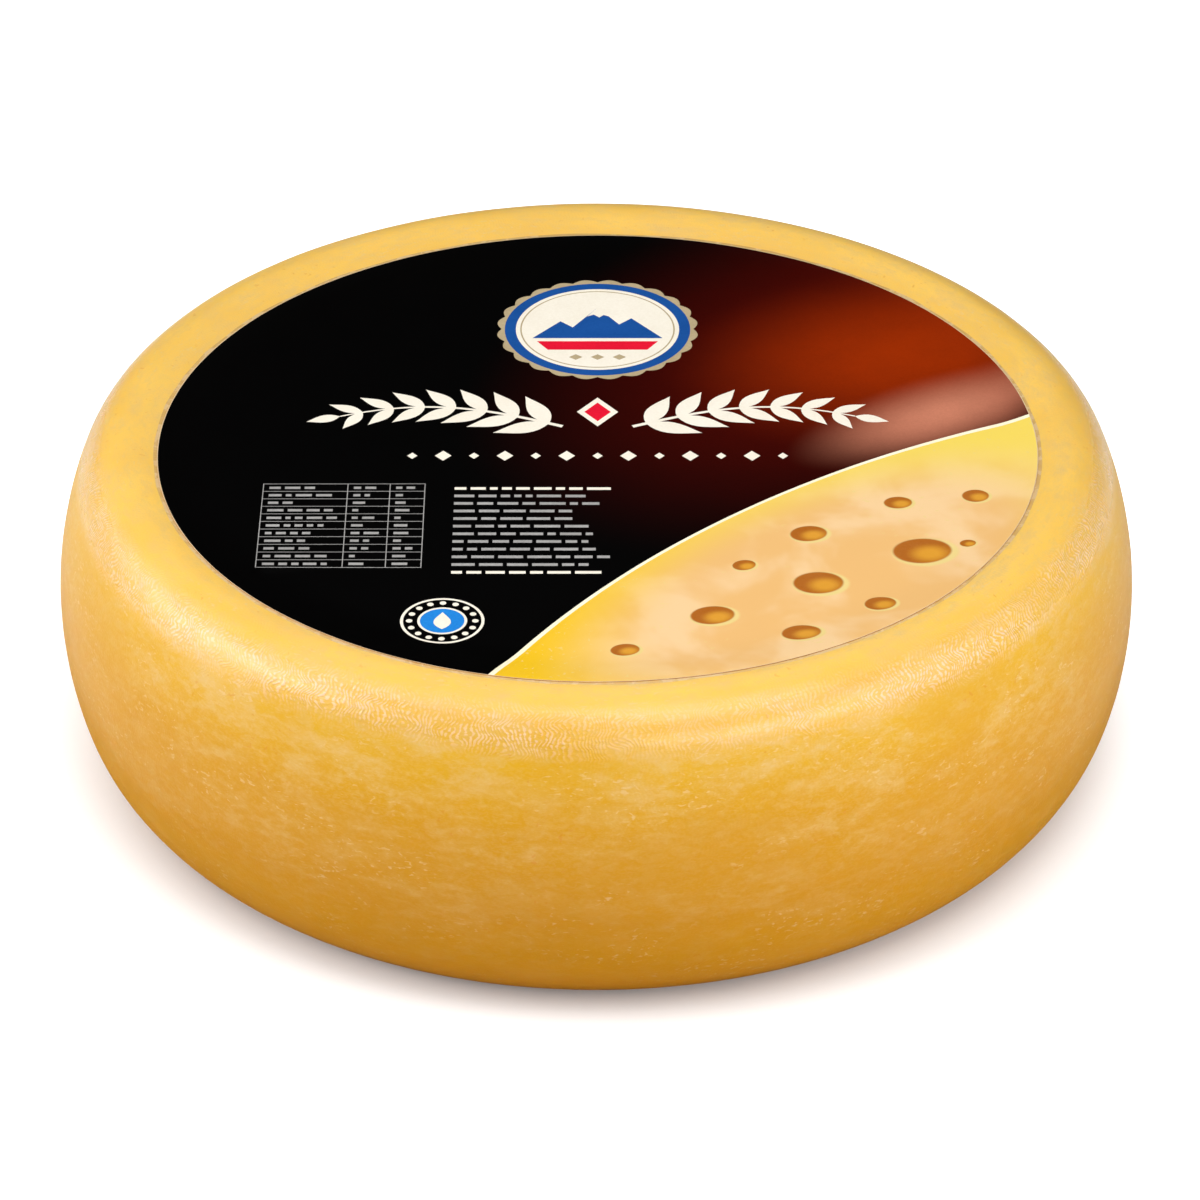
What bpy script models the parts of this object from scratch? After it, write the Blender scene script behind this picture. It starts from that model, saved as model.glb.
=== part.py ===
"""A whole, uncut wheel of hard cheese with a round printed label on its top face.

The wheel is one turned solid. Its side is a run of arcs that touch without a corner, from the
edge of the flat underside to a crest near the top. Inside the crest the top face sinks a little,
as a pressed wheel does when it dries. The label is a thin sheet that follows the top face.

Metres, +Z up. The origin is the centre of the underside, on the surface that the wheel stands on.
"""
import math

import bmesh
import bpy

# The wheel
WHEEL_RADIUS = 0.170          # at the widest place, half way up the side
FOOT_ARC = 0.017              # radius of the edge that the wheel stands on
LOWER_ARC = 0.044             # the belly below the side
SIDE_ARC = 0.112              # the side itself, nearly upright
UPPER_ARC = 0.020             # where the side turns in
SHOULDER_ARC = 0.016          # round the crest of the top face
ARC_ENDS = (-90, -50, -15, 22, 48, 90)   # degrees above level that the side faces, arc to arc
DISH_DEPTH = 0.002            # how far the middle of the top face lies below the crest
DISH_FLOOR_RADIUS = 0.126     # the middle is level out to here

# The label
LABEL_RADIUS = 0.137
LABEL_OFF_CENTRE = (0.0004, -0.0068)     # it was laid on a little towards the front
LABEL_THICKNESS = 0.0004
LABEL_GAP = 0.0003            # between the label and the cheese

# How finely the round shapes are divided
WHEEL_SEGMENTS = 96
LABEL_SEGMENTS = 96
STEP_ALONG_SIDE = math.radians(8)
LARGEST_STEP = 0.0105         # metres along an arc
DISH_STEPS = 5
LABEL_INNER_STEPS = 2
LABEL_OUTER_STEPS = 7
LABEL_OUTER_BAND = 0.023      # the part of the label that may lie on the rise to the crest


def clear_scene():
    """Remove whatever the opened file holds."""
    for item in list(bpy.data.objects):
        bpy.data.objects.remove(item, do_unlink=True)


def make_material(name, colour, roughness):
    """A Principled material with a plain colour."""
    material = bpy.data.materials.new(name)
    material.use_nodes = True
    shader = material.node_tree.nodes["Principled BSDF"]
    shader.inputs["Base Color"].default_value = (*colour, 1.0)
    shader.inputs["Roughness"].default_value = roughness
    shader.inputs["Metallic"].default_value = 0.0
    return material


def side_outline():
    """Points (radius, height) up the side, from the edge of the underside to the crest."""
    arcs = (FOOT_ARC, LOWER_ARC, SIDE_ARC, UPPER_ARC, SHOULDER_ARC)
    facing = [math.radians(angle) for angle in ARC_ENDS]
    points = [(0.0, 0.0)]
    for arc, start, end in zip(arcs, facing, facing[1:]):
        radius, height = points[-1]
        steps = math.ceil(max((end - start) / STEP_ALONG_SIDE, arc * (end - start) / LARGEST_STEP))
        for step in range(1, steps + 1):
            angle = start + (end - start) * step / steps
            points.append((radius + arc * (math.cos(angle) - math.cos(start)),
                           height + arc * (math.sin(angle) - math.sin(start))))
    outward = WHEEL_RADIUS - max(radius for radius, height in points)
    return [(radius + outward, height) for radius, height in points]


SIDE = side_outline()
CREST_RADIUS, CREST_HEIGHT = SIDE[-1]


def top_height(radius):
    """Height of the top face, which rises smoothly from its level middle to the crest."""
    share = (radius - DISH_FLOOR_RADIUS) / (CREST_RADIUS - DISH_FLOOR_RADIUS)
    share = min(max(share, 0.0), 1.0)
    rise = share * share * (3.0 - 2.0 * share)
    return CREST_HEIGHT - DISH_DEPTH * (1.0 - rise)


def add_object(name, bm, material):
    """Turn the bmesh into a smooth object with one material."""
    bmesh.ops.recalc_face_normals(bm, faces=bm.faces)
    mesh = bpy.data.meshes.new(name)
    bm.to_mesh(mesh)
    bm.free()
    mesh.materials.append(material)
    mesh.shade_smooth()
    item = bpy.data.objects.new(name, mesh)
    bpy.context.scene.collection.objects.link(item)
    return item


def make_wheel():
    """Spin the outline round the axis. Its two ends on the axis become single points."""
    dish = []
    for step in range(1, DISH_STEPS + 1):
        radius = CREST_RADIUS + (DISH_FLOOR_RADIUS - CREST_RADIUS) * step / DISH_STEPS
        dish.append((radius, top_height(radius)))
    outline = [(0.0, 0.0), *SIDE, *dish, (0.0, top_height(0.0))]

    bm = bmesh.new()
    points = [bm.verts.new((radius, 0.0, height)) for radius, height in outline]
    edges = [bm.edges.new(pair) for pair in zip(points, points[1:])]
    bmesh.ops.spin(bm, geom=points + edges, cent=(0.0, 0.0, 0.0), axis=(0.0, 0.0, 1.0),
                   angle=math.tau, steps=WHEEL_SEGMENTS, use_merge=True)
    bmesh.ops.remove_doubles(bm, verts=bm.verts, dist=1e-6)
    return add_object("cheese_wheel", bm, make_material("golden_rind", (0.86, 0.50, 0.13), 0.42))


def make_label():
    """A disc of rings laid on the top face, thickened upwards by a Solidify modifier."""
    inner = LABEL_RADIUS - LABEL_OUTER_BAND
    radii = [inner * step / LABEL_INNER_STEPS for step in range(1, LABEL_INNER_STEPS + 1)]
    radii += [inner + LABEL_OUTER_BAND * step / LABEL_OUTER_STEPS
              for step in range(1, LABEL_OUTER_STEPS + 1)]
    centre_x, centre_y = LABEL_OFF_CENTRE

    def on_top(radius, turn):
        x = centre_x + radius * math.cos(turn)
        y = centre_y + radius * math.sin(turn)
        return (x, y, top_height(math.hypot(x, y)) + LABEL_GAP)

    bm = bmesh.new()
    middle = bm.verts.new(on_top(0.0, 0.0))
    turns = [math.tau * segment / LABEL_SEGMENTS for segment in range(LABEL_SEGMENTS)]
    rings = [[bm.verts.new(on_top(radius, turn)) for turn in turns] for radius in radii]
    for segment in range(LABEL_SEGMENTS):
        after = (segment + 1) % LABEL_SEGMENTS
        bm.faces.new((middle, rings[0][segment], rings[0][after]))
        for near, far in zip(rings, rings[1:]):
            bm.faces.new((near[segment], far[segment], far[after], near[after]))
    label = add_object("label", bm, make_material("printed_film", (0.008, 0.006, 0.005), 0.30))
    thicken = label.modifiers.new("thickness", "SOLIDIFY")
    thicken.thickness = LABEL_THICKNESS
    thicken.offset = 1.0
    return label


clear_scene()
make_wheel()
make_label()
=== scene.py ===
# %% [markdown]
# # The looks of a whole cheese wheel
# A cheese wheel is a low drum of pressed curd. Its skin, the rind, is brushed with a thin clear
# coating that dries waxy and semi-gloss. A round printed label lies on the top face.
# This lesson builds that skin and that label round a model that already has the right sizes.
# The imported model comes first, because every number below is worked out from it.

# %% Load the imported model
import math
import random

import bpy
import numpy as np
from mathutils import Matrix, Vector, geometry, noise


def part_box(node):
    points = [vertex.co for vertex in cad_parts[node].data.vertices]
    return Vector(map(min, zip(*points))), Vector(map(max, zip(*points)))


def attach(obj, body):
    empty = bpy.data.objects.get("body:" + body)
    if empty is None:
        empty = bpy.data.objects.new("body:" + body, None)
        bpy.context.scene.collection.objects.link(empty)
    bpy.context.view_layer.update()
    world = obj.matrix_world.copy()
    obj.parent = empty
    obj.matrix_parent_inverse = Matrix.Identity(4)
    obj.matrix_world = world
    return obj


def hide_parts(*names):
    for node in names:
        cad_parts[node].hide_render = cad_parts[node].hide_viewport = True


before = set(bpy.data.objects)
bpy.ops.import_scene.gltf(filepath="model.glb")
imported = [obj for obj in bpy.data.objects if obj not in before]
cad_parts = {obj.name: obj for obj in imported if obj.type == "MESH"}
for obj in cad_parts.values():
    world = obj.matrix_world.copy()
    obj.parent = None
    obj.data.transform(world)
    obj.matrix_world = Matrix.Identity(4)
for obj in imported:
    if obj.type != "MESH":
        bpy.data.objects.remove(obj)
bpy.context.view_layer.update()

wheel_low, wheel_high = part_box("cheese_wheel")
label_low, label_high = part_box("label")
print("nodes:", sorted(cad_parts))

# %% [markdown]
# ## Sizes
# The wheel is round, so its box gives its radius and height. The label's box gives its radius and
# how far off the axis it was laid. Only the run of arcs up the side has to be said again here:
# each arc has a radius and ends where the side faces a certain angle above level.

# %% Sizes from the model
MM = 0.001
WHEEL_RADIUS = (wheel_high.x - wheel_low.x) / 2
SIDE_ARCS = (17 * MM, 44 * MM, 112 * MM, 20 * MM, 16 * MM)
ARC_ENDS = (-90, -50, -15, 22, 48, 90)
DISH_DEPTH = 2 * MM
DISH_FLOOR_RADIUS = 126 * MM
LABEL_RADIUS = (label_high.x - label_low.x) / 2
LABEL_CENTRE = ((label_low + label_high) / 2).to_2d()
print("wheel radius", round(WHEEL_RADIUS / MM, 2), "mm, label radius", round(LABEL_RADIUS / MM, 2),
      "mm, label centre", [round(v / MM, 2) for v in LABEL_CENTRE], "mm")

# %% [markdown]
# ## Camera
# The photograph was taken with a long lens from a little under two metres. A long lens keeps the
# far rim nearly as large as the near one. Blender's camera looks down its own -Z axis, so
# `to_track_quat` turns it to face a target. The target lies a few millimetres off the middle of
# the wheel, because the wheel isn't quite in the middle of the picture.

# %% Camera
CAMERA_DISTANCE = 1.7
CAMERA_ELEVATION = math.radians(32.15)
CAMERA_LENS = 160.35
SENSOR_WIDTH = 36.0
AIM_RIGHT = 1.15 * MM
AIM_DOWN = 7.35 * MM

middle = Vector((0.0, 0.0, (wheel_low.z + wheel_high.z) / 2))
camera_back = Vector((0.0, -math.cos(CAMERA_ELEVATION), math.sin(CAMERA_ELEVATION)))
camera_up = Vector((0.0, math.sin(CAMERA_ELEVATION), math.cos(CAMERA_ELEVATION)))
camera_data = bpy.data.cameras.new("photo camera")
camera_data.lens = CAMERA_LENS
camera_data.sensor_width = SENSOR_WIDTH
camera_data.clip_start = 0.05
camera_data.clip_end = 50.0
camera = bpy.data.objects.new("photo camera", camera_data)
camera.location = middle + camera_back * CAMERA_DISTANCE
target = middle + Vector((AIM_RIGHT, 0.0, 0.0)) - camera_up * AIM_DOWN
camera.rotation_mode = "QUATERNION"
camera.rotation_quaternion = (target - camera.location).to_track_quat("-Z", "Y")
bpy.context.scene.collection.objects.link(camera)
bpy.context.scene.camera = camera
print("camera at", [round(v, 3) for v in camera.location])

# %% [markdown]
# ## The outline of the wheel
# A turned shape could be a Screw modifier on a drawn curve. Here the points are worked out in
# code, because the relief of the rind is added to them ring by ring. Each point also keeps the
# angle that the side faces there and how far along the skin it lies.

# %% Outline points
RING_SPACING = 1.35 * MM
HIDDEN_SPACING = 14 * MM
LABEL_COVER_RADIUS = 118 * MM     # the label hides everything inside this radius


def side_points(spacing):
    """(radius, height, facing angle) up the side, from the underside's edge to the crest."""
    facing = [math.radians(angle) for angle in ARC_ENDS]
    points = [(0.0, 0.0, facing[0])]
    for arc, start, end in zip(SIDE_ARCS, facing, facing[1:]):
        radius, height, _ = points[-1]
        steps = math.ceil(arc * (end - start) / spacing)
        for step in range(1, steps + 1):
            angle = start + (end - start) * step / steps
            points.append((radius + arc * (math.cos(angle) - math.cos(start)),
                           height + arc * (math.sin(angle) - math.sin(start)), angle))
    outward = WHEEL_RADIUS - max(point[0] for point in points)
    return [(radius + outward, height, angle) for radius, height, angle in points]


side = side_points(RING_SPACING)
FOOT_RADIUS = side[0][0]
CREST_RADIUS, CREST_HEIGHT, _ = side[-1]


def top_height(radius):
    """Height of the top face, which sinks smoothly from the crest to its level middle."""
    share = (radius - DISH_FLOOR_RADIUS) / (CREST_RADIUS - DISH_FLOOR_RADIUS)
    share = min(max(share, 0.0), 1.0)
    return CREST_HEIGHT - DISH_DEPTH * (1.0 - share * share * (3.0 - 2.0 * share))


print(len(side), "points up the side, crest at radius", round(CREST_RADIUS / MM, 1),
      "mm, height", round(CREST_HEIGHT / MM, 1), "mm; packed height",
      round((wheel_high.z - wheel_low.z) / MM, 1), "mm")

# %% [markdown]
# ## Relief of the rind
# The curd was pressed in a cloth-lined hoop and then turned and brushed by hand for months, so
# its skin rises and sinks a little at several scales. A Displace modifier could do this, but a
# function of our own can also be asked for the height under the label. It only ever goes inwards,
# so the wheel stays as large as it was measured, and it fades out towards the foot, which is flat.

# %% Relief function
# (length, depth) of each scale of unevenness
RELIEF_LAYERS = ((95 * MM, 0.50 * MM), (30 * MM, 0.22 * MM), (9 * MM, 0.07 * MM))
TOP_RELIEF_SHARE = 0.45
FLAT_FOOT_HEIGHT = 2 * MM
FULL_RELIEF_HEIGHT = 22 * MM


def smooth_step(low, high, value):
    share = min(max((value - low) / (high - low), 0.0), 1.0)
    return share * share * (3.0 - 2.0 * share)


def relief(place):
    """How far the skin lies inside its outline at a place, as a number that isn't positive."""
    depth = 0.0
    for number, (length, height) in enumerate(RELIEF_LAYERS):
        shifted = place / length + Vector((7.3 * number, 2.1, 4.7))
        depth += height * (0.5 + 0.5 * noise.noise(shifted))
    radius = math.hypot(place.x, place.y)
    on_side = smooth_step(CREST_RADIUS - 4 * MM, WHEEL_RADIUS - 4 * MM, radius)
    share = TOP_RELIEF_SHARE + (1.0 - TOP_RELIEF_SHARE) * on_side
    return -depth * share * smooth_step(FLAT_FOOT_HEIGHT, FULL_RELIEF_HEIGHT, place.z)


def rind_top(x, y):
    """Height of the finished skin on the top face."""
    height = top_height(math.hypot(x, y))
    return height + relief(Vector((x, y, height)))


depths = [relief(Vector((WHEEL_RADIUS * math.cos(a), WHEEL_RADIUS * math.sin(a), 0.055)))
          for a in np.linspace(0, math.tau, 90)]
print("relief round the belly, mm:", round(min(depths) / MM, 3), "to", round(max(depths) / MM, 3))

# %% [markdown]
# ## The skin as a mesh
# The rings run from the middle of the underside, up the side, over the crest and in under the
# label. Every ring has the same number of points, so the faces are plain quads and the relief
# reads evenly. A vector attribute, `grain`, goes with each point: it is the point's place with the
# distances round the wheel squeezed, so that a texture read from it comes out stretched that way.

# %% Rind mesh
RIND_SEGMENTS = 640
GRAIN_STRETCH = 2.1


def rind_rings():
    """(radius, height, facing angle, distance along the skin) for every ring."""
    rings = []
    foot_steps = math.ceil(FOOT_RADIUS / HIDDEN_SPACING)
    for step in range(1, foot_steps):
        radius = FOOT_RADIUS * step / foot_steps
        rings.append((radius, 0.0, -math.pi / 2, radius - FOOT_RADIUS))
    travelled = 0.0
    before = side[0]
    for point in side:
        travelled += math.hypot(point[0] - before[0], point[1] - before[1])
        before = point
        rings.append((*point, travelled))
    shown = CREST_RADIUS - LABEL_COVER_RADIUS
    shown_steps = math.ceil(shown / RING_SPACING)
    for step in range(1, shown_steps + 1):
        radius = CREST_RADIUS - shown * step / shown_steps
        rings.append((radius, top_height(radius), math.pi / 2, travelled + CREST_RADIUS - radius))
    hidden_steps = math.ceil(LABEL_COVER_RADIUS / HIDDEN_SPACING)
    for step in range(1, hidden_steps):
        radius = LABEL_COVER_RADIUS * (1 - step / hidden_steps)
        rings.append((radius, top_height(radius), math.pi / 2, travelled + CREST_RADIUS - radius))
    return rings


def ring_faces(ring_count, segments, first=0):
    """Quads between rings whose points are numbered ring after ring."""
    faces = []
    for ring in range(ring_count - 1):
        for segment in range(segments):
            after = (segment + 1) % segments
            near = first + ring * segments
            faces.append((near + segment, near + after, near + segments + after,
                          near + segments + segment))
    return faces


def new_piece(name, points, faces):
    """A smooth mesh object made of these points and faces."""
    mesh = bpy.data.meshes.new(name)
    mesh.from_pydata(points, [], faces)
    mesh.shade_smooth()
    piece = bpy.data.objects.new(name, mesh)
    bpy.context.scene.collection.objects.link(piece)
    return piece


def make_rind():
    rings = rind_rings()
    turns = [math.tau * segment / RIND_SEGMENTS for segment in range(RIND_SEGMENTS)]
    points = []
    grain = []
    for radius, height, angle, along in rings:
        for turn in turns:
            normal = Vector((math.cos(angle) * math.cos(turn), math.cos(angle) * math.sin(turn),
                             math.sin(angle)))
            place = Vector((radius * math.cos(turn), radius * math.sin(turn), height))
            points.append(place + normal * relief(place))
            grain.append((place.x / GRAIN_STRETCH, place.y / GRAIN_STRETCH, along))
    faces = ring_faces(len(rings), RIND_SEGMENTS)
    under, over = len(points), len(points) + 1
    points += [Vector((0, 0, 0)), Vector((0, 0, rind_top(0, 0)))]
    grain += [(0, 0, -FOOT_RADIUS), (0, 0, rings[-1][3] + rings[-1][0])]
    last = (len(rings) - 1) * RIND_SEGMENTS
    for segment in range(RIND_SEGMENTS):
        after = (segment + 1) % RIND_SEGMENTS
        faces.append((under, after, segment))
        faces.append((over, last + segment, last + after))
    piece = new_piece("rind", points, faces)
    attribute = piece.data.attributes.new("grain", "FLOAT_VECTOR", "POINT")
    attribute.data.foreach_set("vector", np.array(grain, dtype=np.float32).ravel())
    return piece


rind = make_rind()
print("rind:", len(rind.data.vertices), "points,",
      sum(len(face.vertices) - 2 for face in rind.data.polygons), "triangles")

# %% [markdown]
# ## Node helpers
# A shader made in code is a list of nodes and links. These helpers keep each material short:
# `add` makes a node and sets its sockets, `join` links two sockets, and `feed` takes either a
# value or an output. `noise_of_size` gives clouds of a size in metres. `new_group` starts a node
# group with named inputs and outputs, which any material can then use with its own values.

# %% Node helpers


def add(tree, kind, **values):
    """A node of this kind. A key that names a socket sets it, any other key is a property."""
    node = tree.nodes.new(kind)
    for key, value in values.items():
        name = key.replace("_", " ")
        if name in node.inputs:
            node.inputs[name].default_value = value
        else:
            setattr(node, key, value)
    return node


def join(tree, source, target):
    tree.links.new(source, target)


def feed(tree, socket, operand):
    """Set a socket to a number or a colour, or link it to another node's output."""
    if isinstance(operand, (int, float)):
        socket.default_value = operand
    elif isinstance(operand, tuple):
        socket.default_value = (*operand, 1.0)
    else:
        tree.links.new(operand, socket)


def math_node(tree, operation, *operands):
    node = add(tree, "ShaderNodeMath", operation=operation)
    for socket, operand in zip(node.inputs, operands):
        feed(tree, socket, operand)
    return node.outputs[0]


def times(tree, first, second):
    return math_node(tree, "MULTIPLY", first, second)


def map_range(tree, value, low, high, to_low=0.0, to_high=1.0, smooth=False):
    """Map Range from (low, high) to (to_low, to_high), clamped."""
    way = "SMOOTHSTEP" if smooth else "LINEAR"
    node = add(tree, "ShaderNodeMapRange", interpolation_type=way)
    for socket, operand in zip(node.inputs, (value, low, high, to_low, to_high)):
        feed(tree, socket, operand)
    return node.outputs[0]


def mix_colours(tree, share, first, second):
    """A Mix node has sockets for every kind of value. Its colours are numbers 6 and 7."""
    node = add(tree, "ShaderNodeMix", data_type="RGBA")
    for number, operand in ((0, share), (6, first), (7, second)):
        feed(tree, node.inputs[number], operand)
    return node.outputs[2]


def colour_ramp(tree, value, stops):
    """A Color Ramp through (position, colour) stops."""
    node = tree.nodes.new("ShaderNodeValToRGB")
    tree.links.new(value, node.inputs[0])
    marks = node.color_ramp.elements
    while len(marks) < len(stops):
        marks.new(0.5)
    for mark, (position, colour) in zip(marks, stops):
        mark.position = position
        mark.color = (*colour, 1.0)
    return node.outputs[0]


def noise_of_size(tree, vector, size, **values):
    """A Noise texture whose clouds are about this many metres long, as a value."""
    scaled = add(tree, "ShaderNodeVectorMath", operation="SCALE")
    join(tree, vector, scaled.inputs[0])
    join(tree, math_node(tree, "DIVIDE", 1.0, size), scaled.inputs["Scale"])
    texture = add(tree, "ShaderNodeTexNoise", **{"Scale": 1.0, **values})
    join(tree, scaled.outputs[0], texture.inputs["Vector"])
    return texture.outputs[0]


def new_group(name, inputs, outputs):
    """An empty node group. Inputs are (name, type, default); outputs are (name, type)."""
    group = bpy.data.node_groups.new(name, "ShaderNodeTree")
    for socket_name, kind, default in inputs:
        socket = group.interface.new_socket(socket_name, in_out="INPUT", socket_type=kind)
        if default is not None:
            socket.default_value = default
    for socket_name, kind in outputs:
        group.interface.new_socket(socket_name, in_out="OUTPUT", socket_type=kind)
    given = group.nodes.new("NodeGroupInput").outputs
    result = group.nodes.new("NodeGroupOutput").inputs
    return group, given, result


def use_group(tree, group, vector, **values):
    """Place a group in a material, feed its Vector and set its other inputs."""
    node = tree.nodes.new("ShaderNodeGroup")
    node.node_tree = group
    join(tree, vector, node.inputs["Vector"])
    for key, value in values.items():
        feed(tree, node.inputs[key.replace("_", " ")], value)
    return node.outputs


def new_material(name):
    """A material and its Principled shader."""
    material = bpy.data.materials.new(name)
    material.use_nodes = True
    return material, material.node_tree, material.node_tree.nodes["Principled BSDF"]


def set_sockets(shader, **values):
    for key, value in values.items():
        shader.inputs[key.replace("_", " ")].default_value = value


def add_bump(tree, shader, height, distance, strength=1.0):
    bump = add(tree, "ShaderNodeBump", Strength=strength, Distance=distance)
    join(tree, height, bump.inputs["Height"])
    join(tree, bump.outputs[0], shader.inputs["Normal"])


FLOAT, VECTOR = "NodeSocketFloat", "NodeSocketVector"
print("node helpers ready")

# %% [markdown]
# ## Groups for cloudy patches and for flecks
# Fat, moisture and salt lie unevenly in a rind, so its colour is cloudy at the scale of a
# fingertip, and short pale strokes of bloom and brush marks lie in the coating. The printed
# picture of cheese needs the same two effects, so each is a group. A Noise texture gives clouds
# at once. For the flecks the same texture is cut off high up, where only small islands stay, and
# a wider one decides where they crowd.

# %% Groups: Cloudy Patches and Fine Flecks


def make_patches_group():
    group, given, result = new_group(
        "Cloudy Patches",
        [("Vector", VECTOR, None), ("Size", FLOAT, 0.02), ("Detail", FLOAT, 3.0),
         ("Low", FLOAT, 0.35), ("High", FLOAT, 0.65)],
        [("Mask", FLOAT)])
    clouds = noise_of_size(group, given["Vector"], given["Size"], Roughness=0.55, Distortion=0.35)
    join(group, given["Detail"], clouds.node.inputs["Detail"])
    mask = map_range(group, clouds, given["Low"], given["High"], smooth=True)
    join(group, mask, result["Mask"])
    return group


def make_flecks_group():
    group, given, result = new_group(
        "Fine Flecks",
        [("Vector", VECTOR, None), ("Size", FLOAT, 0.001), ("Cut", FLOAT, 0.60),
         ("Softness", FLOAT, 0.08), ("Field Size", FLOAT, 0.02)],
        [("Mask", FLOAT)])
    strokes = noise_of_size(group, given["Vector"], given["Size"], Detail=1.0, Roughness=0.5,
                            Distortion=0.6)
    fields = noise_of_size(group, given["Vector"], given["Field Size"], Detail=2.0, Roughness=0.5)
    top = math_node(group, "ADD", given["Cut"], given["Softness"])
    islands = map_range(group, strokes, given["Cut"], top, smooth=True)
    density = map_range(group, fields, 0.42, 0.64, 0.06, 1.0, smooth=True)
    join(group, times(group, islands, density), result["Mask"])
    return group


patches_group = make_patches_group()
flecks_group = make_flecks_group()
print("groups:", patches_group.name, "and", flecks_group.name)

# %% [markdown]
# ## A group for the skin of the coating
# Where the light glances off the shoulder, the coating shows fine ridges a little over a
# millimetre apart, like nested brush marks that curl. A sine of the angle round the wheel gives
# ridges that run across the shoulder, and adding noise to that angle makes them curl. A whole
# number of waves goes round, so they meet without a seam. Fine noise breaks them into pieces.

# %% Group: Coating Ridges


def make_ridges_group():
    group, given, result = new_group(
        "Coating Ridges",
        [("Vector", VECTOR, None), ("Grain", VECTOR, None), ("Waves Round", FLOAT, 760.0),
         ("Curl Size", FLOAT, 0.005), ("Curl Waves", FLOAT, 7.0), ("Peel Size", FLOAT, 0.0009),
         ("Peel Share", FLOAT, 0.5)],
        [("Height", FLOAT)])
    parts = add(group, "ShaderNodeSeparateXYZ")
    join(group, given["Vector"], parts.inputs[0])
    turn = math_node(group, "ARCTAN2", parts.outputs["Y"], parts.outputs["X"])
    base = times(group, turn, given["Waves Round"])
    curls = noise_of_size(group, given["Grain"], given["Curl Size"], Detail=1.0, Roughness=0.4)
    bend = times(group, curls, given["Curl Waves"])
    phase = math_node(group, "MULTIPLY_ADD", bend, math.tau, base)
    lines = math_node(group, "MULTIPLY_ADD", math_node(group, "SINE", phase), 0.5, 0.5)
    peel = noise_of_size(group, given["Grain"], given["Peel Size"], Detail=1.0, Roughness=0.5)
    mixed = add(group, "ShaderNodeMix", data_type="FLOAT")
    join(group, given["Peel Share"], mixed.inputs[0])
    join(group, lines, mixed.inputs[2])
    join(group, map_range(group, peel, 0.34, 0.66), mixed.inputs[3])
    join(group, mixed.outputs[0], result["Height"])
    return group


ridges_group = make_ridges_group()
print("group:", ridges_group.name)

# %% [markdown]
# ## Colours of the rind
# A Color Ramp up the height gives the rind its tone and also paints light and shade on it: a pale
# shoulder and crest where the top lamps fall, a darker golden side, and an amber foot edge that is
# lighter again, painted bounce from the floor. Over it lies a thin uneven veil of butter: cloudy
# patches, faint streaks that run round the side as the brush did, and a dust of fine points. It
# thins out where the honey shows and towards the foot. Short pale strokes and a few dark specks
# come last.

# %% Colours of the rind
# (height, colour) from the foot to the crest: the rind's tone with painted light and shade in it
RIND_TONE_AND_SHADE_BY_HEIGHT = ((10 * MM, (0.74, 0.345, 0.012)), (25 * MM, (0.62, 0.285, 0.005)),
                  (40 * MM, (0.60, 0.268, 0.002)), (70 * MM, (0.63, 0.302, 0.001)),
                  (92 * MM, (0.70, 0.385, 0.012)), (104 * MM, (0.81, 0.470, 0.072)),
                  (109 * MM, (0.93, 0.585, 0.110)))
RAMP_TOP = 110 * MM
HONEY = (0.54, 0.23, 0.001)
BUTTER = (0.71, 0.48, 0.19)
BLOOM = (0.76, 0.55, 0.28)
SPECK = (0.62, 0.20, 0.002)
HONEY_SHARE = 0.16
PATCH_SHARE, STREAK_SHARE, DUST_SHARE = 0.36, 0.26, 0.15
STROKE_SHARE, SPECK_SHARE = 0.45, 0.35
VEIL_HEIGHTS = (15 * MM, 100 * MM)
VEIL_THICKNESS = (0.24, 0.92)


def paint_rind(tree, grain, place, height):
    """The rind's colour with painted light and shade by height, and the mask of its butter patches.
    """
    # painted light and shade: the ramp makes the crest paler, the side darker and the foot edge
    # lighter again
    share_up = math_node(tree, "DIVIDE", height, RAMP_TOP)
    colour = colour_ramp(tree, share_up, [(z / RAMP_TOP, shade) for z, shade in RIND_TONE_AND_SHADE_BY_HEIGHT])

    honey = use_group(tree, patches_group, grain, Size=0.024, Detail=3.0, Low=0.36, High=0.70)
    butter = use_group(tree, patches_group, grain, Size=0.0075, Detail=4.0, Low=0.41, High=0.76)
    streaks = use_group(tree, patches_group, grain, Size=0.0028, Detail=3.0, Low=0.44, High=0.68)
    dust = use_group(tree, patches_group, grain, Size=0.0006, Detail=1.0, Low=0.42, High=0.66)
    veil = times(tree, butter["Mask"], PATCH_SHARE)
    veil = math_node(tree, "MULTIPLY_ADD", streaks["Mask"], STREAK_SHARE, veil)
    veil = math_node(tree, "MULTIPLY_ADD", dust["Mask"], DUST_SHARE, veil)
    veil = times(tree, veil, map_range(tree, honey["Mask"], 0.0, 1.0, 1.2, 0.6))
    thickness = map_range(tree, height, *VEIL_HEIGHTS, *VEIL_THICKNESS, smooth=True)
    colour = mix_colours(tree, times(tree, honey["Mask"], HONEY_SHARE), colour, HONEY)
    colour = mix_colours(tree, times(tree, veil, thickness), colour, BUTTER)

    strokes = use_group(tree, flecks_group, grain, Size=0.0011, Cut=0.60, Softness=0.14,
                        Field_Size=0.014)
    specks = use_group(tree, flecks_group, place, Size=0.0018, Cut=0.68, Softness=0.08,
                       Field_Size=0.02)
    for flecks, share, tint in ((strokes, STROKE_SHARE, BLOOM), (specks, SPECK_SHARE, SPECK)):
        colour = mix_colours(tree, times(tree, flecks["Mask"], share), colour, tint)
    return colour, butter["Mask"]


print("rind colours at", len(RIND_TONE_AND_SHADE_BY_HEIGHT), "heights")

# %% [markdown]
# ## Coating on the shoulder
# The coating is thickest and shiniest on the shoulder, where hands and brushes pass most, and it is
# worn there in patches. Its ridge crests get painted glints, pale highlights in the base colour.
# They could be left to the bump alone, but a highlight as soft as this one would then hardly show
# them.

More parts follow.
